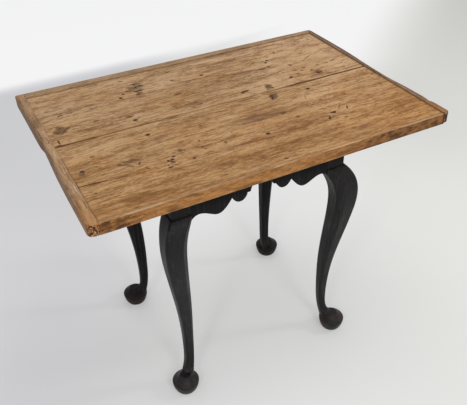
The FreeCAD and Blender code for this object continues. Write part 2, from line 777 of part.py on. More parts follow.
def is_outer_bottom(inside):
    """Test for the outer lower arris of an end rim, round its corners as well."""
    def test(edge):
        box = edge.BoundBox
        at_bottom = abs(box.ZMin - SIZES["table_height"] + SIZES["rim_proud"] + SIZES["board_thickness"]) < CLOSE
        return at_bottom and box.ZLength < CLOSE and abs(edge.CenterOfMass.x) > inside
    return test


def is_corner(side, y_sign):
    """Test for the upright edge at one outer corner of the top."""
    middle_of_rim = SIZES["table_length"] / 2 - SIZES[f"{side}_rim_width"] / 2
    end_of_rim = SIZES["table_depth"] / 2 - SIZES[f"{side}_rim_width"]

    def test(edge):
        box = edge.BoundBox
        upright = box.XLength < CLOSE and box.YLength < CLOSE
        return upright and abs(box.XMin) > middle_of_rim and y_sign * box.YMin > end_of_rim
    return test


def make_rim(name, curves):
    """Rim of one side, raised from its plan; its inner upper edge is bevelled."""
    body = new_body(name)
    side = name.removeprefix("rim_")
    along_x = side in ("front", "back")
    across = SIZES["table_depth"] if along_x else SIZES["table_length"]
    inside = across / 2 - SIZES[f"{side}_rim_width"]
    plan = new_sketch(body, name + "Plan", "XY_Plane", FRAME_TOP)
    add_outline(plan, curves)
    add_pad(body, plan, "Sheet.board_thickness + Sheet.rim_proud")
    add_dressing(body, "PartDesign::Chamfer", name + "Bevel", is_inner_top(along_x, inside),
                 "Size", "Sheet.rim_inner_bevel")
    if not along_x:
        narrowest = f"(Sheet.{side}_rim_width - Sheet.{side}_back_wear - Sheet.rim_inner_bevel)"
        for end, y_sign in (("front", -1), ("back", 1)):
            radius = f"min(Sheet.{end}_{side}_corner_radius; 0.95 * {narrowest})"
            add_fillet(body, f"{name}{end.title()}Corner", is_corner(side, y_sign), radius)
    outer_top = is_outer_top(along_x, inside + SIZES["rim_inner_bevel"] + CLOSE)
    add_fillet(body, name + "Arris", outer_top, "Sheet.rim_arris_radius")
    if not along_x:
        add_fillet(body, name + "LowerArris", is_outer_bottom(inside + CLOSE), f"Sheet.{side}_lower_radius")
    return body


def make_side_rim(side, inside):
    """Front or back rim, between the end rims, with the sprig holes through it."""
    line = [(BOARD_LEFT, side_line(side, BOARD_LEFT)), (BOARD_RIGHT, side_line(side, BOARD_RIGHT))]
    corners = [*line, (BOARD_RIGHT, inside), (BOARD_LEFT, inside)]
    body = make_rim(f"rim_{side}", [list(pair) for pair in zip(corners, corners[1:] + corners[:1])])
    holes = new_sketch(body, body.Name + "SprigHoles", "XZ_Plane", f"-{inside}")
    for place in side_sprig_places():
        add_circle(holes, (place, BOARD_MIDDLE), "Sheet.sprig_diameter + Sheet.joint_clearance")
    add_pocket(body, holes, f"Sheet.{side}_rim_width", reverse=side == "front")


def make_end_rim(side, inside):
    """Left or right rim: it runs past the ends of the others, with rounded corners."""
    line = worn_line(side)
    corners = [line[-1], (inside, side_line("front", inside)), (inside, side_line("back", inside)), line[0]]
    body = make_rim(f"rim_{side}", [line, *(list(pair) for pair in zip(corners, corners[1:]))])
    holes = new_sketch(body, body.Name + "SprigHoles", "YZ_Plane", inside)
    for place in end_sprig_places():
        add_circle(holes, (place, BOARD_MIDDLE), "Sheet.sprig_diameter + Sheet.joint_clearance")
    add_pocket(body, holes, f"Sheet.{side}_rim_width", reverse=side == "right")


# ---------------------------------------------------------------- glue blocks
def make_glue_block(name, turn, x, y, along):
    """Block rubbed into the angle between an apron and the boards; its own y runs inwards."""
    body = new_body(name)
    section = new_sketch(body, name + "Section", "YZ_Plane", along)
    near = "Sheet.apron_thickness"
    far = "(Sheet.apron_thickness + Sheet.block_size)"
    low = f"({FRAME_TOP} - Sheet.block_size)"
    bevel = "Sheet.block_bevel"
    add_polygon(section, [
        (near, low),
        (f"({far} - {bevel})", low),
        (far, f"({low} + {bevel})"),
        (far, FRAME_TOP),
        (near, FRAME_TOP),
    ])
    add_pad(body, section, "Sheet.block_length", middle=True)
    place_body(body, turn, x, y)


# ---------------------------------------------------------------- fasteners
def add_rod(kind, name, sizes, direction, place):
    """Part primitive whose axis points along direction, with its start at place."""
    rod = doc.addObject(kind, name)
    for size_name, expression in sizes.items():
        rod.setExpression(size_name, expression)
    rod.Placement = Placement(Vector(), Rotation(Vector(0, 0, 1), direction))
    for axis, expression in zip("xyz", place):
        rod.setExpression(f"Placement.Base.{axis}", expression)
    return rod


def make_group(name, rods):
    group = doc.addObject("Part::Compound", name)
    group.Label = name
    group.Links = rods
    nodes.append(group)


def make_pegs():
    """Two pegs through each tenon, driven in from the outer faces of the posts."""
    sizes = {"Radius": "Sheet.peg_diameter / 2", "Height": "Sheet.peg_length"}
    side = f"({HALF_FRAME_LENGTH} - Sheet.post_width + Sheet.peg_inset)"
    end = f"({HALF_FRAME_DEPTH} - Sheet.post_width + Sheet.peg_inset)"
    rods = []
    for height in (drop("upper_peg_drop"), drop("lower_peg_drop")):
        for x_sign in ("-", ""):
            for y_sign in ("-", ""):
                into_y = Vector(0, 1 if y_sign else -1, 0)
                into_x = Vector(1 if x_sign else -1, 0, 0)
                rods.append(add_rod("Part::Cylinder", f"Peg{len(rods)}", sizes, into_y,
                                    (f"{x_sign}{side}", f"{y_sign}{HALF_FRAME_DEPTH}", height)))
                rods.append(add_rod("Part::Cylinder", f"Peg{len(rods)}", sizes, into_x,
                                    (f"{x_sign}{HALF_FRAME_LENGTH}", f"{y_sign}{end}", height)))
    make_group("joint_pegs", rods)


def make_dowels():
    sizes = {"Radius": "Sheet.dowel_diameter / 2", "Height": "Sheet.dowel_length"}
    start = "(Sheet.seam_offset - Sheet.dowel_length / 2)"
    rods = [add_rod("Part::Cylinder", f"Dowel{order}", sizes, Vector(0, 1, 0), (place, start, BOARD_MIDDLE))
            for order, place in enumerate(dowel_places())]
    make_group("board_dowels", rods)


def make_nails():
    """Wrought nails with tapered shanks, their heads punched below the surface."""
    head_sizes = {"Radius": "Sheet.nail_head_diameter / 2", "Height": "Sheet.nail_head_thickness"}
    shank_sizes = {
        "Radius1": "Sheet.nail_diameter / 2",
        "Radius2": "Sheet.nail_point_diameter / 2",
        "Height": "Sheet.nail_length - Sheet.nail_head_thickness",
    }
    head_top = "(Sheet.table_height - Sheet.rim_proud - Sheet.nail_set_depth)"
    shank_top = f"({head_top} - Sheet.nail_head_thickness)"
    down = Vector(0, 0, -1)
    nails = []
    for x, y in nail_places(True) + nail_places(False):
        order = len(nails)
        nail = doc.addObject("Part::Fuse", f"Nail{order}")
        nail.Base = add_rod("Part::Cone", f"NailShank{order}", shank_sizes, down, (x, y, shank_top))
        nail.Tool = add_rod("Part::Cylinder", f"NailHead{order}", head_sizes, down, (x, y, head_top))
        nails.append(nail)
    make_group("top_nails", nails)


def make_sprigs():
    """Headless brads, punched in through the rims into the edges of the boards."""
    sizes = {"Radius": "Sheet.sprig_diameter / 2", "Height": "Sheet.sprig_length"}
    rods = []
    for place in end_sprig_places():
        for sign, inwards in (("-", 1), ("", -1)):
            start = f"{sign}({HALF_LENGTH} - Sheet.end_sprig_inset)"
            rods.append(add_rod("Part::Cylinder", f"Sprig{len(rods)}", sizes, Vector(inwards, 0, 0),
                                (start, place, BOARD_MIDDLE)))
    for place in side_sprig_places():
        for side, sign, inwards in (("front", "-", 1), ("back", "", -1)):
            start = f"{sign}({HALF_DEPTH} - Sheet.{side}_sprig_inset)"
            rods.append(add_rod("Part::Cylinder", f"Sprig{len(rods)}", sizes, Vector(0, inwards, 0),
                                (place, start, BOARD_MIDDLE)))
    make_group("rim_sprigs", rods)


# ---------------------------------------------------------------- assembly
CORNERS = {
    "leg_back_right": (0, HALF_FRAME_LENGTH, HALF_FRAME_DEPTH),
    "leg_back_left": (90, f"-{HALF_FRAME_LENGTH}", HALF_FRAME_DEPTH),
    "leg_front_left": (180, f"-{HALF_FRAME_LENGTH}", f"-{HALF_FRAME_DEPTH}"),
    "leg_front_right": (270, HALF_FRAME_LENGTH, f"-{HALF_FRAME_DEPTH}"),
}
for leg_name, (leg_turn, leg_x, leg_y) in CORNERS.items():
    make_leg(leg_name, leg_turn, leg_x, leg_y)

# the nails have been driven by eye: how deep behind the outer face of an apron they stand
MID_APRON = "(Sheet.apron_thickness / 2)"
DRIFTED_IN = f"({MID_APRON} + Sheet.nail_drift)"
DRIFTED_OUT = f"({MID_APRON} - Sheet.nail_drift)"
LONG_APRONS = {
    "apron_front": (0, f"-{HALF_FRAME_DEPTH}", ("Sheet.mid_nail_offset", DRIFTED_IN)),
    "apron_back": (180, HALF_FRAME_DEPTH, ("-Sheet.mid_nail_offset", DRIFTED_OUT)),
}
for apron_name, (apron_turn, apron_y, nail_place) in LONG_APRONS.items():
    apron = make_apron(apron_name, apron_turn, "0", apron_y, HALF_FRAME_LENGTH, True)
    add_apron_nail_holes(apron, [nail_place])

END_APRONS = {
    "apron_left": (270, f"-{HALF_FRAME_LENGTH}", "0", DRIFTED_IN),
    "apron_right": (90, HALF_FRAME_LENGTH, "Sheet.right_nail_shift", MID_APRON),
}
for apron_name, (apron_turn, apron_x, shift, depth) in END_APRONS.items():
    apron = make_apron(apron_name, apron_turn, apron_x, "0", HALF_FRAME_DEPTH, False)
    add_apron_nail_holes(apron, [
        (f"({shift} - Sheet.end_nail_spread)", depth),
        (f"({shift} + Sheet.end_nail_spread)", depth),
    ])

make_board("top_board_front", True)
make_board("top_board_back", False)
make_side_rim("front", BOARD_FRONT)
make_side_rim("back", BOARD_BACK)
make_end_rim("left", BOARD_LEFT)
make_end_rim("right", BOARD_RIGHT)

for block_side, block_place in (("left", "-Sheet.block_spread"), ("right", "Sheet.block_spread")):
    make_glue_block(f"glue_block_front_{block_side}", 0, "0", f"-{HALF_FRAME_DEPTH}", block_place)
    make_glue_block(f"glue_block_back_{block_side}", 180, "0", HALF_FRAME_DEPTH, f"-({block_place})")
make_glue_block("glue_block_left", 270, f"-{HALF_FRAME_LENGTH}", "0", "0")
make_glue_block("glue_block_right", 90, HALF_FRAME_LENGTH, "0", "0")

make_dowels()
make_pegs()
make_nails()
make_sprigs()

doc.recompute()

# ---------------------------------------------------------------- checks and files
for item in doc.Objects:
    if "Invalid" in item.State or "Error" in item.State:
        raise RuntimeError(f"{item.Name} failed: {item.State}")
for node in nodes:
    if node.Shape.isNull() or not node.Shape.isValid():
        raise RuntimeError(f"{node.Label} has no sound shape")

os.makedirs("parts", exist_ok=True)
for node in nodes:
    node.Shape.exportStep(f"parts/{node.Label}.step")
    box = node.Shape.BoundBox
    print(f"{node.Label}: {len(node.Shape.Solids)} solids, {node.Shape.Volume:.0f} mm3, "
          f"z {box.ZMin:.1f} to {box.ZMax:.1f}")
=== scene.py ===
"""Looks of the tray top tea table: scrubbed pine boards in a low worn rim, on an old black painted base."""
import math

import bpy
from mathutils import Matrix, Vector


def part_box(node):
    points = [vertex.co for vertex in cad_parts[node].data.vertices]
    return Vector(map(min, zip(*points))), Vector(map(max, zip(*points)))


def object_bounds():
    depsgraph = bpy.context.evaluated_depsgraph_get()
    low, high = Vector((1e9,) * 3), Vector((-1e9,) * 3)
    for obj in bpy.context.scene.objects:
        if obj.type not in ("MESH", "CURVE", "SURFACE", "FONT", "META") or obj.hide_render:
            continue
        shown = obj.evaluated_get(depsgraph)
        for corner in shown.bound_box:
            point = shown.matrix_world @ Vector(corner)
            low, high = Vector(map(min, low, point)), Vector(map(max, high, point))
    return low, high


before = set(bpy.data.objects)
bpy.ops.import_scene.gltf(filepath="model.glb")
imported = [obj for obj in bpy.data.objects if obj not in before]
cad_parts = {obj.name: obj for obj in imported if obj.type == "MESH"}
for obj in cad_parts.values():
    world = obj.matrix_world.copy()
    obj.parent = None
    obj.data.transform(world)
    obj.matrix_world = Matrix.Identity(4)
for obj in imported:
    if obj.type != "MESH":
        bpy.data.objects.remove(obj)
CAD_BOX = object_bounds()

MM = 0.001
BOARD_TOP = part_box("top_board_front")[1].z
FIELD_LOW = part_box("top_board_front")[0]
FIELD_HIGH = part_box("top_board_back")[1]
SEAM_Y = (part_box("top_board_front")[1].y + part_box("top_board_back")[0].y) / 2
FRONT_Y = CAD_BOX[0][1]
END_X = CAD_BOX[1][0]
BEVEL_SAMPLES = 6
# grain from broad bands to fine fibres: length, width, detail, roughness, share of the tone
GRAIN_LAYERS = [
    (0.200, 0.0260, 2.0, 0.5, 0.30),
    (0.036, 0.0060, 3.0, 0.6, 0.38),
    (0.010, 0.0026, 2.0, 0.6, 0.32),
]


# ---------------------------------------------------------------- node trees
class Tree:
    """Nodes of one material or world, with a short word for each kind of node."""

    def __init__(self, owner):
        owner.use_nodes = True
        self.nodes = owner.node_tree.nodes
        self.links = owner.node_tree.links

    def feed(self, socket, source):
        """Links a source to the socket. A plain number or colour is set on the socket itself."""
        if isinstance(source, bpy.types.NodeSocket):
            self.links.new(source, socket)
        else:
            socket.default_value = source

    def add(self, kind, sources, **settings):
        node = self.nodes.new(kind)
        for setting, value in settings.items():
            setattr(node, setting, value)
        for key, source in sources.items():
            self.feed(node.inputs[key], source)
        return node

    def math(self, operation, first, second=0.0, clamp=False):
        node = self.add("ShaderNodeMath", {0: first, 1: second}, operation=operation, use_clamp=clamp)
        return node.outputs[0]

    def plus(self, first, second):
        return self.math("ADD", first, second)

    def minus(self, first, second):
        return self.math("SUBTRACT", first, second)

    def times(self, first, second):
        return self.math("MULTIPLY", first, second)

    def largest(self, values):
        result = values[0]
        for value in values[1:]:
            result = self.math("MAXIMUM", result, value)
        return result

    def step(self, value, start, end, low=0.0, high=1.0):
        """Smooth change from low to high while value goes from start to end."""
        node = self.add("ShaderNodeMapRange", {0: value, 1: start, 2: end, 3: low, 4: high},
                        interpolation_type="SMOOTHSTEP")
        return node.outputs[0]

    def vector_math(self, operation, first, second):
        return self.add("ShaderNodeVectorMath", {0: first, 1: second}, operation=operation).outputs[0]

    def seen_directly(self):
        """1 for rays from the camera or by way of gloss or glass, 0 for those that light the object."""
        rays = self.add("ShaderNodeLightPath", {}).outputs
        return self.largest([rays["Is Camera Ray"], rays["Is Glossy Ray"], rays["Is Transmission Ray"]])


class Surface(Tree):
    """Nodes of one material. Place is where the shaded point lies in the part's frame, in metres."""

    def __init__(self, name):
        self.material = bpy.data.materials.new(name)
        super().__init__(self.material)
        self.shader = self.nodes["Principled BSDF"]
        self.place = self.add("ShaderNodeTexCoord", {}).outputs["Object"]

    def shade(self, sources):
        """Feeds the sockets of the material's shader."""
        for socket, source in sources.items():
            self.feed(self.shader.inputs[socket], source)

    def axes(self):
        return self.add("ShaderNodeSeparateXYZ", {0: self.place}).outputs

    def mix(self, factor, first, second):
        node = self.add("ShaderNodeMix", {0: factor, 6: first, 7: second}, data_type="RGBA")
        return node.outputs[2]

    def cover(self, colour, coat, mask, share):
        """The colour under a coat of another one, which covers it by share where the mask is 1."""
        return self.mix(self.times(mask, share), colour, coat)

    def in_units_of(self, size, vector):
        return self.vector_math("MULTIPLY", vector, tuple(1 / length for length in size))

    def noise(self, size, detail=2.0, roughness=0.5, warp=0.0, vector=None):
        """Noise from 0 to 1 whose patches measure about size along X, Y and Z."""
        return self.add("ShaderNodeTexNoise", {
            "Vector": self.in_units_of(size, self.place if vector is None else vector),
            "Scale": 1.0,
            "Detail": detail,
            "Roughness": roughness,
            "Distortion": warp,
        }).outputs[0]

    def warped(self, size, amount):
        """The place pushed about by noise of this size, by up to half of amount each way."""
        scaled = self.in_units_of(size, self.place)
        shift = self.add("ShaderNodeTexNoise", {"Vector": scaled, "Scale": 1.0, "Detail": 2.0}).outputs[1]
        centred = self.vector_math("SUBTRACT", shift, (0.5, 0.5, 0.5))
        pushed = self.vector_math("MULTIPLY", centred, (amount,) * 3)
        return self.vector_math("ADD", self.place, pushed)

    def nearness(self, mark, vector):
        """1 at a mark's middle, 0 from its border on. A mark is an entry of the lists of marks."""
        x, y, half_x, half_y, turn = mark
        mapping = self.add("ShaderNodeMapping", {
            0: vector,
            1: (x * MM, y * MM, BOARD_TOP),
            2: (0.0, 0.0, math.radians(turn)),
            3: (half_x * MM, half_y * MM, 1.0),
        }, vector_type="TEXTURE")
        ball = self.add("ShaderNodeTexGradient", {0: mapping.outputs[0]}, gradient_type="SPHERICAL")
        return ball.outputs[1]

    def spots(self, marks, core=0.35, vector=None):
        """1 in the core of each mark, fading to 0 at its border."""
        vector = self.place if vector is None else vector
        nearest = self.largest([self.nearness(mark, vector) for mark in marks])
        return self.step(nearest, 0.0, 1.0 - core)

    def edge(self, radius):
        """1 on the arrises that are sharper than the radius, 0 on flat faces."""
        bevel = self.add("ShaderNodeBevel", {0: radius}, samples=BEVEL_SAMPLES).outputs[0]
        normal = self.add("ShaderNodeNewGeometry", {}).outputs["Normal"]
        facing = self.add("ShaderNodeVectorMath", {0: bevel, 1: normal}, operation="DOT_PRODUCT").outputs[1]
        return self.step(self.minus(1.0, facing), 0.02, 0.22)

    def bump(self, height, depth, strength, normal=None):
        """Bump whose full height of 1 stands for depth metres."""
        sources = {"Height": height, "Distance": depth, "Strength": strength}
        if normal is not None:
            sources["Normal"] = normal
        return self.add("ShaderNodeBump", sources).outputs[0]


class Pine(Surface):
    """Pine whose grain runs along X, for 0, or Y, for 1. Its tone goes from 0, dark, to 1, pale."""

    def __init__(self, name, along):
        super().__init__(name)
        self.along = along
        bent = self.warped(self.lengthwise(0.10, 0.04), 0.012)
        self.tone = 0.0
        # the last and finest layer stays as the fibres
        for length, width, detail, roughness, share in GRAIN_LAYERS:
            self.fibres = self.noise(self.lengthwise(length, width), detail, roughness, vector=bent)
            self.tone = self.plus(self.tone, self.times(self.fibres, share))

    def lengthwise(self, length, width):
        size = [width, width, width]
        size[self.along] = length
        return tuple(size)

    def toned(self, start, end, dark, light):
        """Colour that follows the grain: dark up to one tone, light from another one on."""
        return self.mix(self.step(self.tone, start, end), dark, light)

    def finish(self, colour, height=None, roughness=0.62):
        """Dull bare wood: its pale wood is smoother, and its grain and the height stand in relief."""
        relief = self.plus(self.times(self.tone, 0.6), self.times(self.fibres, 0.4))
        normal = self.bump(relief, 0.0012, 0.6)
        if height is not None:
            normal = self.bump(height, 0.0016, 0.9, normal)
        self.shade({
            "Base Color": colour,
            "Roughness": self.step(self.tone, 0.35, 0.65, roughness + 0.1, roughness - 0.06),
            "Specular IOR Level": 0.15,
            "Normal": normal,
        })
        return self.material


def rgb(red, green, blue):
    """Linear colour from the 0 to 255 numbers of a colour chart."""
    def linear(value):
        value /= 255
        return value / 12.92 if value <= 0.04045 else ((value + 0.055) / 1.055) ** 2.4
    return (linear(red), linear(green), linear(blue), 1.0)


# ---------------------------------------------------------------- bare pine
# the back colours are greyer, and the back right paler, as painted reflection of light from the right and
# the back
PINE_BACK_LEFT = rgb(184, 152, 117)
PINE_BACK_RIGHT_LIT = rgb(208, 174, 139)
PINE_FRONT_LEFT = rgb(174, 132, 87)
PINE_FRONT_RIGHT = rgb(182, 132, 79)
PINE_MIDDLE = rgb(140, 98, 55)
PINE_DARK = rgb(110, 70, 31)
PINE_PALE = rgb(188, 153, 109)
PINE_OLIVE = rgb(160, 132, 84)
PINE_ORANGE = rgb(172, 120, 66)
STAIN_DARK = rgb(66, 36, 8)
STAIN_BROWN = rgb(84, 56, 26)
STAIN_GREY = rgb(84, 68, 46)
STAIN_SOOT = rgb(58, 44, 30)
STAIN_PURPLE = rgb(106, 72, 50)
SPOT_TAN = rgb(186, 136, 88)
# pale of the painted highlight streaks on the left rim
HIGHLIGHT_PALE = rgb(192, 178, 156)
# brown of grime, also used as painted shade at the foot of the rim
DIRT_AND_SHADE = rgb(92, 64, 38)
GLINT = rgb(222, 204, 182)                  # painted glints of highlight on the end grain
END_ORANGE = rgb(184, 116, 58)
# painted shade on the outer edge of the end rims
OUTER_EDGE_SHADE = rgb(84, 62, 54)
# dark and light wood
BOARD_RAW = (rgb(96, 68, 44), rgb(146, 108, 72))
SAWN_PINE = (rgb(100, 72, 46), rgb(150, 112, 76))
DOWEL_BIRCH = (rgb(130, 98, 66), rgb(176, 140, 100))
# of each rim: dark and light wood, worn arrises that are also lighter as painted highlight
LEFT_RIM = (rgb(128, 97, 66), rgb(174, 140, 106), rgb(180, 152, 120))
RIGHT_RIM = (rgb(90, 68, 54), rgb(134, 106, 84), rgb(180, 152, 120))
BACK_RIM = (rgb(126, 98, 70), rgb(162, 132, 101), rgb(168, 138, 106))
FRONT_RIM = (rgb(140, 94, 50), rgb(186, 132, 78), rgb(190, 152, 108))
LEFT_END_GRAIN = rgb(28, 18, 12)
RIGHT_END_GRAIN = rgb(30, 18, 14)
FRONT_RIM_TOP = (rgb(126, 92, 58), rgb(170, 128, 84))
FRONT_BROWN = rgb(92, 56, 26)
FRONT_SPECKLE = rgb(64, 38, 16)
FRONT_BRIGHT = rgb(202, 138, 74)
# painted highlight along the front arris
FRONT_ARRIS_HIGHLIGHT = rgb(208, 172, 132)
FRONT_PATCH = rgb(200, 130, 76)
FRONT_CORNER = rgb(34, 20, 14)
FRONT_GRIME = rgb(80, 50, 24)

# marks on the top, in millimetres from its middle: x, y, half its size along x and y, turn in degrees
KNOTS = [
    (-364, 71, 22, 17, 0),
    (-361, 86, 12, 8, 0),
    (-347, 75, 11, 8, 20),
    (285, 40, 12, 13, 45),
    (-281, 76, 12, 4, 0),
    (-168, -128, 7, 7, 0),
    (116, -127, 5, 6, -20),
    (170, 123, 15, 7, 0),
    (243, 108, 5, 9, 0),
    (190, 128, 8, 7, 0),
    (134, 32, 13, 10, 45),
    (118, -16, 14, 11, 45),
]
GREY_MARKS = [
    (-141, 201, 17, 10, 35),
    (-150, 188, 20, 10, -15),
    (-133, 189, 10, 9, 0),
    (-161, 178, 17, 10, 10),
    (-144, 169, 17, 8, 0),
    (-150, 156, 12, 5, 0),
    (135, 31, 18, 12, 45),
    (128, 19, 9, 8, 0),
    (118, -18, 24, 13, 55),
    (-370, -112, 10, 12, 0),
]
PURPLE_MARKS = [
    (80, -94, 42, 12, 5),
    (20, -98, 50, 9, 0),
    (-100, -224, 24, 10, 0),
    (-35, -232, 12, 11, 0),
    (215, -236, 40, 11, 2),
    (-128, 9, 22, 9, 0),
    (285, 40, 18, 16, 45),
    (30, -80, 60, 10, 0),
    (-30, 157, 60, 6, 0),
    (130, 128, 60, 8, -5),
]
NAIL_STAINS = [
    (-204, 36.5, 8, 6, 0),
    (-204, -36.5, 8, 6, 0),
    (209, 47.5, 7, 6, 0),
    (209, -25.5, 8, 6, 0),
    (21.5, 169.5, 7, 6, 0),
    (21.5, -159.5, 8, 6, 0),
    (-196.5, 152, 6, 5, 0),
    (-196.5, -152, 6, 5, 0),
    (196.5, 152, 6, 5, 0),
    (196.5, -152, 6, 5, 0),
]
DARK_MARKS = [
    (-185, 169, 4, 5, 0),
    (-173, 178, 5, 4, -20),
    (-154, 167, 9, 4, -30),
    (-144, 168, 9, 3, 5),
    (-135, 192, 11, 4, 0),
    (-147, 206, 9, 3, -15),
    (-153, 151, 9, 3, 5),
    (-146, 187, 2.4, 7, 0),
    (-345, 139.5, 8, 3, 0),
    (-379, 27, 2.4, 13, 0),
    (-382, 13, 8, 3.5, 0),
    (-55, 180, 5, 3, 0),
    (74, 37, 13, 6, 5),
    (66, 34, 8, 5, 20),
    (140, 22, 4, 4, 0),
    (206, 163, 5, 5, 0),
    (280, 36, 5, 6, 30),
    (-370, -106, 6, 5, 0),
    (-190, -143, 5, 4.5, 0),
    (-206, -153, 4, 5, -20),
    (-200, -160, 9, 3.5, -58),
    (-211, -177, 8, 3, 5),
    (-156, -170, 5, 4, 20),
    (115, -14, 5, 5, 0),
    (112, -26, 9, 3.5, 60),
    (192, -150, 6, 4, 0),
    (199, -149, 8, 2.4, 8),
    (174, -168, 10, 3, 60),
    (236, -146, 9, 2.4, 60),
    (4, -261.5, 6, 2.6, -25),
]
BROWN_MARKS = [
    (97, -98, 12, 7, 10),
    (-43, -116, 3, 4, 0),
    (-73, -146, 8, 5, 70),
    (-370, 67, 6, 6, 0),
    (-356, 66, 6, 7, 0),
    (-340, 150, 6, 3, 0),
    (-168, 238, 10, 4, -35),
    (-47, 226, 5, 4, 0),
    (-52, 46, 8, 5, 0),
    (-47, 33, 10, 4, 0),
    (218, 180, 9, 4, 0),
    (247, 195, 4, 11, -8),
    (168, 168, 9, 4, 0),
    (205, 80, 5, 4, 0),
    (236, 76, 9, 4, -15),
    (265, 79, 8, 5, 0),
    (252, 67, 6, 4, 0),
    (235, 57, 8, 4, 0),
    (275, 57, 8, 4, 45),
    (305, 76, 8, 4, 0),
    (332, 75, 8, 4, 0),
    (355, 80, 16, 4, 15),
    (357, 34, 4, 7, 0),
    (307, 128, 28, 2.8, 30),
    (-335, -62, 8, 4, 0),
    (-297, -119, 7, 7, 0),
    (-252, -157, 10, 3.5, -59),
    (-161, -132, 4, 4, 0),
    (-368, -190, 4, 5, 0),
    (-119, -113, 3, 7, -20),
    (-124, -140, 7, 3, 30),
    (-121, -148, 7, 3, -30),
    (-90, -58, 6, 4, 0),
    (-212, -169, 4, 4, 0),
    (208, -182, 9, 4, 0),
    (270, -92, 5, 5, 0),
    (-127, -253, 9, 3, 0),
    (-70, 105, 13, 6, 0),
    (-210, 57, 14, 6, 0),
]
SCRATCHES = [
    (-277, -118, 20, 3.6, -30),
    (-284, -126, 19, 3.0, -29),
    (-262, -118, 20, 3.4, -28),
    (-280, -135, 14, 2.2, -30),
    (-260, -133, 10, 3.4, 67),
    (-352, 132, 10, 1.9, 35),
    (-346, 128, 11, 1.9, 35),
    (226, -132, 16, 1.2, 55),
    (219, -138, 13, 1.2, 55),
    (-203, -169, 10, 2.0, -50),
    (-196, -174, 9, 2.0, -50),
    (60, -150, 22, 1.0, 8),
    (-100, -120, 26, 1.0, 15),
    (-70, -110, 24, 1.0, 12),
    (180, -60, 18, 1.0, 70),
    (310, -30, 20, 1.0, 5),
    (-30, 90, 18, 1.0, -12),
    (-250, 40, 22, 1.0, 6),
]
PALE_MARKS = [
    (-66, 67, 3.5, 8, 30),
    (-85, -115, 28, 13, 10),
    (-60, -124, 22, 7, 25),
    (225, -150, 12, 2.6, 58),
    (244, -152, 12, 2.6, 58),
    (268, -101, 5, 3.5, 0),
    (-203, -172, 8, 2.4, -50),
    (-208, -162, 6, 2.4, -50),
    (-189, -151, 8, 3, 0),
    (-188, 162, 8, 3, 20),
    (-175, 190, 3.5, 9, 0),
    (-148, 214, 12, 3.5, -25),
    (-152, 158, 10, 3, 5),
    (-150, 198, 6, 5, 0),
    (255, 86, 26, 4, 5),
    (222, 68, 8, 4, 0),
    (248, 52, 10, 4, 30),
    (340, 66, 16, 3.5, 10),
    (300, 135, 26, 3, 30),
    (-270, -134, 14, 3, -32),
    (-372, 56, 12, 3, 0),
    (205, -190, 12, 3, 0),
]
SOFT_BANDS = [
    (-274, -118, 46, 13, 0),
    (30, -82, 95, 13, 0),
    (60, -60, 60, 7, 2),
    (-225, -120, 40, 6, -3),
    (-195, -75, 16, 7, 0),
    (-290, -198, 28, 4, 0),
    (-290, -258, 20, 5, 0),
    (-200, -258, 30, 7, 0),
    (-250, -246, 18, 3, 0),
    (-155, -224, 34, 5, 0),
    (-60, -257, 36, 7, -3),
    (25, -240, 10, 7, 0),
    (90, -240, 14, 6, 0),
    (190, -243, 28, 4, 0),
    (255, -197, 15, 7, 30),
    (320, -80, 40, 6, 0),
    (-55, -172, 15, 4, 0),
    (60, -212, 22, 4, 0),
    (-285, 190, 24, 9, 0),
    (-210, 188, 22, 7, 0),
    (-85, 224, 40, 5, 0),
    (62, 205, 14, 7, 0),
    (-10, 157, 75, 5, 0),
    (150, 128, 90, 9, -5),
    (40, 122, 28, 5, 0),
    (-70, 105, 13, 5, 0),
    (-210, 57, 16, 6, 0),
    (60, 250, 230, 12, 0),
    (-290, 150, 16, 4, 0),
    (-40, -170, 120, 6, 0),
    (-330, -235, 50, 6, 0),
    (120, -215, 60, 5, 0),
]
# broad patches of painted shade in the middle of the field
PAINTED_SHADE_PATCHES = [
    (-70, 95, 170, 95, 0),
    (95, -140, 130, 60, 0),
    (30, -225, 200, 50, 0),
    (-145, 70, 60, 35, 0),
    (242, 150, 50, 32, 0),
    (150, -240, 90, 40, 0),
]
# broad patches of painted light towards the ends of the field
PAINTED_LIGHT_PATCHES = [
    (-340, 95, 60, 40, 0),
    (-335, -45, 75, 50, 0),
    (-345, 60, 75, 60, 0),
    (-335, -175, 85, 80, 0),
    (360, -60, 80, 90, 0),
    (300, 140, 90, 60, 0),
    (250, 10, 110, 40, 0),
]
SPLITS = [                                  # these and the next two lie in the left rim
    (-409, 235, 2.2, 40, 0),
    (-397, 150, 1.8, 45, 4),
    (-403, 120, 1.8, 30, -3),
    (-408, 60, 2.4, 40, 0),
    (-398, 40, 2.0, 22, 0),
    (-411, -30, 2.2, 35, 0),
    (-412, -150, 3.0, 16, 0),
    (-404, -90, 1.6, 30, 2),
    (-397, -215, 2.0, 26, 0),
    (-409, -215, 1.8, 22, 0),
    (-392, -236, 6, 20, 0),
]
# streaks of painted highlight on the left rim, near its inner edge
HIGHLIGHT_STREAKS = [
    (-391, -90, 1.8, 34, 0),
    (-393, -140, 2.4, 34, 0),
    (-398, -160, 2.2, 26, 3),
    (-390, -190, 1.8, 26, 0),
    (-401, -20, 1.6, 24, 0),
]
JOINT_SPOT = (-402, 186, 14, 7, 0)
CHECK = (-361, -156.5, 38, 2.4, -6)         # crack that runs in from the left end of the front board
CHECK_TAIL = (-310, -161, 26, 1.8, -3)

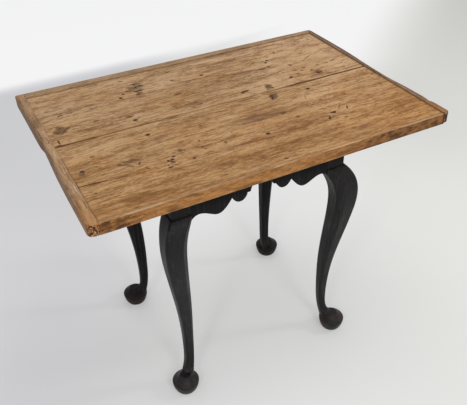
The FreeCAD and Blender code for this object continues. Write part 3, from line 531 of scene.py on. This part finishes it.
# where one look passes into another: start and end along an axis, in metres
BACK_TO_FRONT_Y = (0.22, -0.26)
LEFT_TO_RIGHT_X = (0.04, 0.38)
SEAM_OPEN_RIGHT_X = (0.13, 0.20)
SEAM_OPEN_LEFT_X = (-0.29, -0.31)
SEAM_HALF_OPEN_X = ((-0.30, -0.26), (-0.10, -0.20))
DIRT_SHADE_FRONT_LEFT_Y = (-0.02, -0.07)
DIRT_SHADE_BACK_LEFT_Y = (0.235, 0.25)
DIRT_SHADE_BACK_X = (-0.10, 0.02)
DIRT_SHADE_RIGHT_Y = (0.02, 0.10)
BOARD_FACE_Z = (BOARD_TOP - 0.003, BOARD_TOP - 0.0002)
END_RIM_OUTSIDE_X = (END_X - 0.012, END_X - 0.003)
END_RIM_ORANGE_Y = (-0.16, -0.27)
END_GRAIN_Y = (FRONT_Y + 0.012, FRONT_Y + 0.002)
END_GRAIN_Z = (BOARD_TOP + 0.004, BOARD_TOP + 0.001)
FRONT_BROWN_RIGHT_X = (0.06, 0.26)
FRONT_BROWN_LEFT_X = (-0.27, -0.36)
FRONT_FACE_Z = (BOARD_TOP + 0.0038, BOARD_TOP + 0.0015)
FRONT_DULL_X = (0.1, 0.3)
FRONT_ARRIS_Y = (FRONT_Y + 0.0042, FRONT_Y + 0.0024)
FRONT_ARRIS_Z = (BOARD_TOP + 0.0008, BOARD_TOP + 0.0022)
FRONT_PATCH_X = (0.380, 0.387)
FRONT_CORNER_X = (0.393, 0.399)
FRONT_LOW_Z = (BOARD_TOP - 0.010, BOARD_TOP - 0.023)
SEAM_HALF_WIDTH = 0.0018
SEAM_SHADE_WIDTH = 0.005
SEAM_SOFT_EDGE = (0.0012, -0.0002)
RAGGED_DIRT_SHADE = 0.006


def pine_colour(pine):
    """Greyer towards the back and paler towards the right end, as painted reflection of light from the
    right and the back; orange towards the front; with broad patches of painted shade and painted light.
    """
    x, y, _ = pine.axes()
    patches = pine.noise((0.15, 0.06, 0.06))
    drift = pine.times(pine.minus(patches, 0.5), 0.30)
    # painted reflection of light makes the back greyer and its right end paler
    front = pine.step(pine.plus(y, drift), *BACK_TO_FRONT_Y)
    right = pine.step(pine.plus(x, drift), *LEFT_TO_RIGHT_X)
    back_edge = pine.mix(right, PINE_BACK_LEFT, PINE_BACK_RIGHT_LIT)
    front_edge = pine.mix(right, PINE_FRONT_LEFT, PINE_FRONT_RIGHT)
    colour = pine.mix(front, back_edge, front_edge)

    olive = pine.step(pine.noise((0.07, 0.03, 0.03)), 0.55, 0.75)
    colour = pine.cover(colour, PINE_OLIVE, olive, 0.45)
    colour = pine.cover(colour, PINE_MIDDLE, pine.step(patches, 0.60, 0.30), 0.45)
    # broad painted shade in the middle and painted light towards the ends
    colour = pine.cover(colour, PINE_MIDDLE, pine.spots(PAINTED_SHADE_PATCHES, core=0.0), 0.72)
    colour = pine.cover(colour, PINE_PALE, pine.spots(PAINTED_LIGHT_PATCHES, core=0.0), 0.40)
    wandering = pine.warped((0.1, 0.1, 0.1), 0.05)
    warm = pine.step(pine.noise((0.11, 0.035, 0.05), vector=wandering), 0.54, 0.70)
    colour = pine.cover(colour, PINE_ORANGE, warm, 0.40)
    colour = pine.cover(colour, PINE_DARK, pine.step(pine.tone, 0.58, 0.36), 0.89)
    return pine.cover(colour, PINE_PALE, pine.step(pine.tone, 0.47, 0.66), 0.65)


def paint_seam(pine, colour):
    """Seam between the boards: open in its right third and at the far left, closed elsewhere."""
    x, y, _ = pine.axes()
    right_third = pine.step(x, *SEAM_OPEN_RIGHT_X)
    far_left = pine.step(x, *SEAM_OPEN_LEFT_X, 0.0, 0.8)
    half_start, half_end = SEAM_HALF_OPEN_X
    half_left = pine.times(pine.step(x, *half_start), pine.step(x, *half_end, 0.0, 0.4))
    open_share = pine.largest([right_third, far_left, half_left])
    wander = pine.minus(pine.noise((0.03, 0.2, 0.2)), 0.4)
    half_width = pine.times(pine.plus(open_share, wander), SEAM_HALF_WIDTH)
    off_seam = pine.math("ABSOLUTE", pine.minus(y, SEAM_Y))
    past_edge = pine.minus(off_seam, half_width)
    colour = pine.cover(colour, PINE_DARK, pine.step(past_edge, SEAM_SHADE_WIDTH, 0.0), 0.45)
    line = pine.step(past_edge, *SEAM_SOFT_EDGE)
    seam = pine.times(line, pine.plus(pine.times(open_share, 0.7), 0.14))
    return pine.mix(seam, colour, STAIN_DARK), seam


def paint_rim_dirt_and_shade(pine, colour):
    """Grime and painted shade against the rim: most of it in the corners, at the left and at the back."""
    x, y, _ = pine.axes()
    ragged = pine.times(pine.noise((0.05, 0.05, 0.05), detail=3.0), RAGGED_DIRT_SHADE)

    def along_side(distance, reach, strength):
        near = pine.step(pine.minus(distance, ragged), reach, -0.004)
        return pine.times(near, strength)

    left_corners = pine.largest([pine.step(y, *DIRT_SHADE_FRONT_LEFT_Y), pine.step(y, *DIRT_SHADE_BACK_LEFT_Y)])
    left_strength = pine.plus(pine.times(left_corners, 0.7), 0.15)
    back_strength = pine.step(x, *DIRT_SHADE_BACK_X, 0.0, 0.40)
    right_strength = pine.step(y, *DIRT_SHADE_RIGHT_Y, 0.1, 0.4)
    dirt_and_shade = pine.largest([
        along_side(pine.minus(x, FIELD_LOW.x), 0.002, left_strength),
        along_side(pine.minus(FIELD_HIGH.y, y), 0.004, back_strength),
        along_side(pine.minus(y, FIELD_LOW.y), 0.002, 0.4),
        along_side(pine.minus(FIELD_HIGH.x, x), 0.0015, right_strength),
    ])
    # grime and painted shade at the foot of the rim
    return pine.mix(dirt_and_shade, colour, DIRT_AND_SHADE)


def make_field():
    """Upper faces of the two boards, with all their marks. Other faces stay plain darkened pine."""
    pine = Pine("pine_field", along=0)
    colour = pine_colour(pine)
    rough_place = pine.warped((0.014, 0.008, 0.01), 0.010)
    fine_place = pine.warped((0.006, 0.004, 0.005), 0.0022)
    bent_place = pine.warped((0.030, 0.020, 0.02), 0.0030)
    torn_place = pine.warped((0.012, 0.008, 0.01), 0.016)

    bands = pine.spots(SOFT_BANDS, 0.0, rough_place)
    colour = pine.cover(colour, STAIN_PURPLE, bands, 0.50)
    purple = pine.spots(PURPLE_MARKS, 0.2, rough_place)
    colour = pine.cover(colour, STAIN_PURPLE, purple, 0.55)
    pale = pine.spots(PALE_MARKS, 0.1, fine_place)
    colour = pine.cover(colour, PINE_PALE, pale, 0.55)
    rings = pine.noise((0.0045, 0.0032, 0.0035), detail=3.0, warp=1.0, vector=torn_place)
    grey = pine.spots(GREY_MARKS, 0.5, torn_place)
    colour = pine.cover(colour, STAIN_GREY, grey, 0.55)
    torn = pine.times(grey, pine.step(rings, 0.52, 0.40))
    colour = pine.cover(colour, STAIN_SOOT, torn, 0.82)
    knots = pine.spots(KNOTS, 0.5, rough_place)
    colour = pine.cover(colour, STAIN_BROWN, knots, pine.step(rings, 0.42, 0.56, 0.97, 0.60))

    brown = pine.spots(BROWN_MARKS, 0.3, fine_place)
    colour = pine.cover(colour, STAIN_BROWN, brown, 0.78)
    nails = pine.spots(NAIL_STAINS, 0.5, fine_place)
    colour = pine.cover(colour, STAIN_DARK, nails, 0.85)
    holes = pine.spots(DARK_MARKS, 0.55, fine_place)
    colour = pine.cover(colour, STAIN_DARK, holes, 0.92)
    scratches = pine.spots(SCRATCHES)
    colour = pine.cover(colour, STAIN_BROWN, scratches, 0.80)
    check = pine.largest([
        pine.spots([CHECK], 0.5, bent_place),
        pine.times(pine.spots([CHECK_TAIL], vector=bent_place), 0.45),
    ])
    colour = pine.cover(colour, STAIN_DARK, check, 0.85)
    worm = pine.step(pine.noise((0.0028, 0.0020, 0.002), detail=0.0), 0.72, 0.79)
    worm_area = pine.step(pine.noise((0.09, 0.06, 0.06), detail=1.0), 0.46, 0.62)
    colour = pine.cover(colour, STAIN_DARK, pine.times(worm, worm_area), 0.55)

    colour, seam = paint_seam(pine, colour)
    colour = paint_rim_dirt_and_shade(pine, colour)
    _, _, z = pine.axes()
    colour = pine.mix(pine.step(z, *BOARD_FACE_Z), pine.toned(0.35, 0.65, *BOARD_RAW), colour)
    sunk = pine.largest([holes, check, seam, pine.times(scratches, 0.4), pine.times(grey, 0.25)])
    dents = pine.noise((0.05, 0.03, 0.03))
    return pine.finish(colour, pine.minus(pine.times(dents, 0.5), sunk))


def start_rim(name, along, woods):
    """Rim of one side: grain along it, worn arris lightened as wear and as painted highlight, nicks and
    grime.
    """
    dark, light, worn = woods
    pine = Pine(name, along)
    colour = pine.toned(0.36, 0.60, dark, light)
    patches = pine.noise((0.09, 0.09, 0.02), detail=3.0)
    colour = pine.cover(colour, DIRT_AND_SHADE, pine.step(patches, 0.54, 0.72), 0.5)
    # arrises lightened by wear and by painted highlight
    wear_and_highlight = pine.times(pine.edge(0.002), pine.step(patches, 0.36, 0.5))
    colour = pine.cover(colour, worn, wear_and_highlight, 0.6)
    nicks = pine.step(pine.noise((0.006, 0.006, 0.004), detail=1.0), 0.68, 0.76)
    nicks = pine.times(nicks, pine.step(patches, 0.42, 0.6))
    colour = pine.cover(colour, STAIN_DARK, nicks, 0.7)
    height = pine.minus(pine.times(patches, 0.5), nicks)
    return pine, colour, height


def start_end_rim(name, woods, end_grain, edge_shade_share, dark_until):
    """Rim across an end of the boards, with painted shade along its outer edge, and dark, mottled end grain
    with painted glints of highlight at its front end.
    """
    pine, colour, height = start_rim(name, 1, woods)
    x, y, z = pine.axes()
    outer_edge = pine.step(pine.math("ABSOLUTE", x), *END_RIM_OUTSIDE_X)
    # painted shade along the outer edge of the rim
    colour = pine.cover(colour, OUTER_EDGE_SHADE, outer_edge, edge_shade_share)
    colour = pine.cover(colour, PINE_ORANGE, pine.step(y, *END_RIM_ORANGE_Y), 0.45)
    end_face = pine.times(pine.times(pine.step(y, *END_GRAIN_Y), pine.step(z, *END_GRAIN_Z)), 0.92)
    mottle = pine.noise((0.0045, 0.0045, 0.0045))
    dark_share = pine.step(mottle, dark_until, dark_until + 0.08, 0.95, 0.0)
    colour = pine.mix(end_face, colour, pine.mix(dark_share, END_ORANGE, end_grain))
    # painted glints of highlight on the end grain
    glints = pine.step(pine.noise((0.0022, 0.0022, 0.0022), detail=0.0), 0.68, 0.74)
    colour = pine.cover(colour, GLINT, pine.times(glints, end_face), 0.8)
    return pine, colour, height


def make_left_rim():
    """Left rim, with a tan spot across it, splits along it and streaks of painted highlight near its inner
    edge.
    """
    pine, colour, height = start_end_rim("pine_rim_left", LEFT_RIM, LEFT_END_GRAIN, 0.48, 0.48)
    colour = pine.cover(colour, SPOT_TAN, pine.spots([JOINT_SPOT], core=0.1), 0.45)
    split_place = pine.warped((0.012, 0.030, 0.012), 0.006)
    colour = pine.cover(colour, STAIN_BROWN, pine.spots(SPLITS, 0.3, split_place), 0.55)
    # streaks of painted highlight near the inner edge
    colour = pine.cover(colour, HIGHLIGHT_PALE, pine.spots(HIGHLIGHT_STREAKS, 0.3, split_place), 0.50)
    return pine.finish(colour, height)


def make_right_rim():
    pine, colour, height = start_end_rim("pine_rim_right", RIGHT_RIM, RIGHT_END_GRAIN, 0.50, 0.64)
    return pine.finish(colour, height)


def make_back_rim():
    pine, colour, height = start_rim("pine_rim_back", 0, BACK_RIM)
    return pine.finish(colour, height)


def make_front_rim():
    """Front rim: waxed and orange in the middle, browner at both ends and low down, with a painted
    highlight along its upper arris.
    """
    pine, colour, height = start_rim("pine_rim_front", 0, FRONT_RIM)
    x, y, z = pine.axes()
    ends = pine.largest([pine.step(x, *FRONT_BROWN_RIGHT_X), pine.step(x, *FRONT_BROWN_LEFT_X)])
    face = pine.step(z, *FRONT_FACE_Z)
    colour = pine.cover(colour, FRONT_BROWN, pine.times(ends, face), 0.60)
    colour = pine.mix(face, pine.toned(0.38, 0.60, *FRONT_RIM_TOP), colour)

    mottle = pine.noise((0.018, 0.018, 0.007), detail=3.0, roughness=0.65)
    speckled = pine.times(pine.plus(pine.times(ends, 0.75), 0.25), face)
    colour = pine.cover(colour, FRONT_SPECKLE, pine.times(pine.step(mottle, 0.52, 0.60), speckled), 0.72)
    brightened = pine.times(face, pine.step(x, *FRONT_DULL_X, 1.0, 0.4))
    colour = pine.cover(colour, FRONT_BRIGHT, pine.times(pine.step(mottle, 0.46, 0.38), brightened), 0.55)

    # painted highlight along the upper arris of the front face
    arris = pine.times(pine.step(y, *FRONT_ARRIS_Y), pine.step(z, *FRONT_ARRIS_Z))
    lit = pine.step(pine.noise((1 / 14, 1 / 14, 1 / 14)), 0.42, 0.58, 0.10, 0.52)
    colour = pine.cover(colour, FRONT_ARRIS_HIGHLIGHT, arris, lit)
    patch = pine.times(pine.step(x, *FRONT_PATCH_X), face)
    colour = pine.cover(colour, FRONT_PATCH, patch, 0.45)
    colour = pine.cover(colour, FRONT_CORNER, pine.step(x, *FRONT_CORNER_X), 0.85)

    low = pine.step(z, *FRONT_LOW_Z)
    blotches = pine.step(pine.noise((0.05, 0.05, 0.012)), 0.48, 0.66)
    grime = pine.times(blotches, pine.math("ADD", low, 0.25, clamp=True))
    colour = pine.cover(colour, FRONT_GRIME, grime, 0.6)
    return pine.finish(colour, height, roughness=0.52)


def make_raw_wood(name, along, woods):
    """Sawn, unfinished wood that nobody sees from above."""
    wood = Pine(name, along)
    saw_marks = wood.noise((0.004, 0.03, 0.03), detail=1.0)
    return wood.finish(wood.toned(0.34, 0.64, *woods), saw_marks, roughness=0.75)


# ---------------------------------------------------------------- painted base and iron
PAINT_BLACK = rgb(10, 9, 10)
PAINT_FADED = rgb(22, 19, 20)
PAINT_BRUSHED = rgb(42, 38, 40)
PAINT_WORN = rgb(56, 44, 38)
# painted shade under the top
PAINT_SHADE_UNDER_TOP = rgb(6, 5, 6)
PAINT_RUBBED = rgb(62, 44, 40)
IRON_BLACK = rgb(30, 24, 20)
IRON_RUST = rgb(66, 42, 28)
UNDER_TOP_Z = (0.53, 0.57)                  # where the paint darkens in the shade of the top


def make_paint(name, sheen, brown_below=0.0):
    """Old black paint: brushed, satin, rubbed thin on the arrises and brown near the floor, with painted
    shade under the top.
    """
    paint = Surface(name)
    _, _, z = paint.axes()
    brushed = paint.noise((0.004, 0.004, 0.08), detail=3.0, roughness=0.6)
    clouds = paint.noise((0.05, 0.05, 0.08), detail=3.0)
    colour = paint.mix(paint.step(clouds, 0.35, 0.65), PAINT_BLACK, PAINT_FADED)
    colour = paint.cover(colour, PAINT_BRUSHED, paint.step(brushed, 0.50, 0.66), 0.7)
    worn = paint.times(paint.edge(0.006), paint.step(clouds, 0.46, 0.62))
    colour = paint.cover(colour, PAINT_WORN, worn, 0.3)
    shade_under_top = paint.step(z, *UNDER_TOP_Z)
    # painted shade under the top
    colour = paint.cover(colour, PAINT_SHADE_UNDER_TOP, shade_under_top, 0.8)
    if brown_below:
        foot = paint.step(z, brown_below, brown_below * 0.35)
        rubbed = paint.times(foot, paint.step(clouds, 0.36, 0.6))
        colour = paint.cover(colour, PAINT_RUBBED, rubbed, 0.55)
    hand_shaped = paint.noise((0.02, 0.02, 0.05))
    soft = paint.add("ShaderNodeBevel", {0: 0.004}, samples=BEVEL_SAMPLES).outputs[0]
    normal = paint.bump(hand_shaped, 0.004, 0.35, soft)
    paint.shade({
        "Base Color": colour,
        "Roughness": paint.plus(paint.step(clouds, 0.3, 0.7, 0.40, 0.58), paint.times(shade_under_top, 0.25)),
        "Specular IOR Level": sheen,
        "Normal": paint.bump(brushed, 0.0006, 0.5, normal),
    })
    return paint.material


def make_iron():
    """Wrought iron, dull and rusty."""
    iron = Surface("rusty_iron")
    rust = iron.noise((0.002, 0.002, 0.002), detail=3.0)
    iron.shade({
        "Base Color": iron.mix(iron.step(rust, 0.4, 0.65), IRON_BLACK, IRON_RUST),
        "Metallic": 0.3,
        "Roughness": iron.step(rust, 0.4, 0.65, 0.5, 0.85),
        "Normal": iron.bump(rust, 0.0004, 0.8),
    })
    return iron.material


def dress(material, *names):
    """Gives the CAD nodes of these names this material."""
    for name in names:
        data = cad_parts[name].data
        data.materials.clear()
        data.materials.append(material)
        for polygon in data.polygons:
            polygon.material_index = 0


dress(make_field(), "top_board_front", "top_board_back")
dress(make_left_rim(), "rim_left")
dress(make_right_rim(), "rim_right")
dress(make_back_rim(), "rim_back")
dress(make_front_rim(), "rim_front")
# the back legs and the aprons get copies of the paint with less sheen, as painted shade under the table
dress(make_paint("black_paint_front_legs", 0.25, brown_below=0.07), "leg_front_left", "leg_front_right")
dress(make_paint("black_paint_back_legs_shaded", 0.11, brown_below=0.05), "leg_back_left", "leg_back_right")
dress(make_paint("black_paint_aprons_shaded", 0.14),
      "apron_front", "apron_back", "apron_left", "apron_right", "joint_pegs")
dress(make_raw_wood("sawn_pine", 0, SAWN_PINE),
      "glue_block_front_left", "glue_block_front_right", "glue_block_back_left", "glue_block_back_right",
      "glue_block_left", "glue_block_right")
dress(make_raw_wood("dowel_birch", 1, DOWEL_BIRCH), "board_dowels")
dress(make_iron(), "top_nails", "rim_sprigs")


# ---------------------------------------------------------------- stage, light and camera
FLOOR_NEAR = rgb(250, 251, 251)
FLOOR_SHADED_LEFT = rgb(190, 191, 202)
FLOOR_RIGHT = rgb(226, 226, 216)
FLOOR_RIGHT_FAR = rgb(206, 205, 192)
FLOOR_FAR = rgb(250, 250, 251)
FLOOR_PAPER = rgb(238, 238, 238)
FLOOR_SIZE = 14.0
VIEW_AHEAD = (0.456, 0.890)                 # level direction in which the camera looks
# start and end in metres, ahead and across as the camera sees them, of the floor's changes of colour
LEFT_ACROSS = (-0.15, -0.60)
RIGHT_ACROSS = (0.15, 0.70)
RIGHT_FAR_AHEAD = (0.45, 1.0)
RIGHT_FAR_ACROSS = (0.5, 0.9)
FAR_Y = (1.70, 1.86)
FAR_RIGHT_AHEAD = (1.1, 1.8)
FAR_RIGHT_ACROSS = (-0.2, 0.4)
FAR_UNTIL_ACROSS = (0.40, -0.26)
NEAR_SHARE = 0.30                           # share of the floor's look that no light or shadow changes
FAR_SHARE = 0.85                            # the same far behind the table
WORLD_LIGHT = 0.48                          # how strongly the world lights the object
WORLD_SEEN = 0.80                           # how bright it looks as a backdrop
# name, place, diameter, watts
LAMPS = [
    ("overhead", (0.3, 0.2, 3.2), 2.4, 31.0),
    ("front_left", (-1.9, -1.9, 2.2), 0.5, 11.0),
    ("front", (0.0, -2.8, 2.2), 0.9, 18.0),
    ("right", (2.6, -0.9, 1.9), 0.5, 11.0),
]
LAMP_TARGET = Vector((0.0, 0.0, 0.4))
# camera from which the perspective of the top and the feet is right: metres, pixels, radians
CAMERA_PLACE = Vector((-0.58010, -1.16490, 1.36174))
IMAGE_WIDTH = 467
FOCAL_LENGTH = 635.111
YAW, PITCH, ROLL = 0.47336, 0.63924, -0.02321


def make_floor():
    """Plain pale paper: greyer to the left as painted shade, greener far to the right, near white far
    ahead.
    """
    paper = Surface("pale_floor")
    x, y, _ = paper.axes()

    def along_floor(share_x, share_y):
        return paper.plus(paper.times(x, share_x), paper.times(y, share_y))

    ahead = along_floor(*VIEW_AHEAD)
    across = along_floor(VIEW_AHEAD[1], -VIEW_AHEAD[0])
    # painted shade on the floor to the left
    colour = paper.mix(paper.step(across, *LEFT_ACROSS), FLOOR_NEAR, FLOOR_SHADED_LEFT)
    colour = paper.mix(paper.step(across, *RIGHT_ACROSS), colour, FLOOR_RIGHT)
    right_far = paper.times(paper.step(ahead, *RIGHT_FAR_AHEAD), paper.step(across, *RIGHT_FAR_ACROSS))
    colour = paper.mix(right_far, colour, FLOOR_RIGHT_FAR)
    off_right = paper.minus(across, paper.times(ahead, 0.45))
    behind = paper.step(y, *FAR_Y)
    behind_right = paper.times(paper.step(ahead, *FAR_RIGHT_AHEAD), paper.step(across, *FAR_RIGHT_ACROSS))
    far = paper.times(paper.largest([behind, behind_right]), paper.step(off_right, *FAR_UNTIL_ACROSS))
    colour = paper.mix(far, colour, FLOOR_FAR)

    paper.shade({"Base Color": FLOOR_PAPER, "Roughness": 0.9, "Specular IOR Level": 0.1})
    own_look = paper.add("ShaderNodeEmission", {"Color": colour, "Strength": 1.0})
    share = paper.plus(paper.times(far, FAR_SHARE - NEAR_SHARE), NEAR_SHARE)
    blend = paper.add("ShaderNodeMixShader", {
        0: paper.times(paper.seen_directly(), share),
        1: paper.shader.outputs[0],
        2: own_look.outputs[0],
    })
    paper.feed(paper.nodes["Material Output"].inputs["Surface"], blend.outputs[0])
    bpy.ops.mesh.primitive_plane_add(size=FLOOR_SIZE, location=(0.0, 0.0, 0.0))
    floor = bpy.context.object
    floor.name = "floor"
    floor.data.materials.append(paper.material)


def add_lamp(name, location, size, power):
    data = bpy.data.lights.new(name, "AREA")
    data.shape = "DISK"
    data.size = size
    data.energy = power
    lamp = bpy.data.objects.new(name, data)
    lamp.location = location
    lamp.rotation_euler = (LAMP_TARGET - Vector(location)).to_track_quat("-Z", "Y").to_euler()
    bpy.context.collection.objects.link(lamp)


def light_scene():
    """Four soft lamps, and a world that looks brighter as a backdrop than it lights."""
    world = bpy.data.worlds.new("studio")
    bpy.context.scene.world = world
    sky = Tree(world)
    background = sky.nodes["Background"].inputs
    sky.feed(background["Color"], (1.0, 1.0, 1.0, 1.0))
    sky.feed(background["Strength"], sky.step(sky.seen_directly(), 0.0, 1.0, WORLD_LIGHT, WORLD_SEEN))
    for lamp in LAMPS:
        add_lamp(*lamp)


def add_camera():
    ahead = Vector((math.sin(YAW) * math.cos(PITCH), math.cos(YAW) * math.cos(PITCH), -math.sin(PITCH)))
    level_right = Vector((math.cos(YAW), -math.sin(YAW), 0.0))
    level_up = level_right.cross(ahead)
    right = level_right * math.cos(ROLL) + level_up * math.sin(ROLL)
    up = level_up * math.cos(ROLL) - level_right * math.sin(ROLL)
    data = bpy.data.cameras.new("camera")
    data.sensor_width = 36.0
    data.lens = data.sensor_width * FOCAL_LENGTH / IMAGE_WIDTH
    data.clip_end = 60.0
    camera = bpy.data.objects.new("camera", data)
    turn = Matrix((right, up, -ahead)).transposed().to_4x4()
    camera.matrix_world = Matrix.Translation(CAMERA_PLACE) @ turn
    bpy.context.collection.objects.link(camera)
    bpy.context.scene.camera = camera


make_floor()
light_scene()
add_camera()
bpy.context.scene.view_settings.view_transform = "Standard"
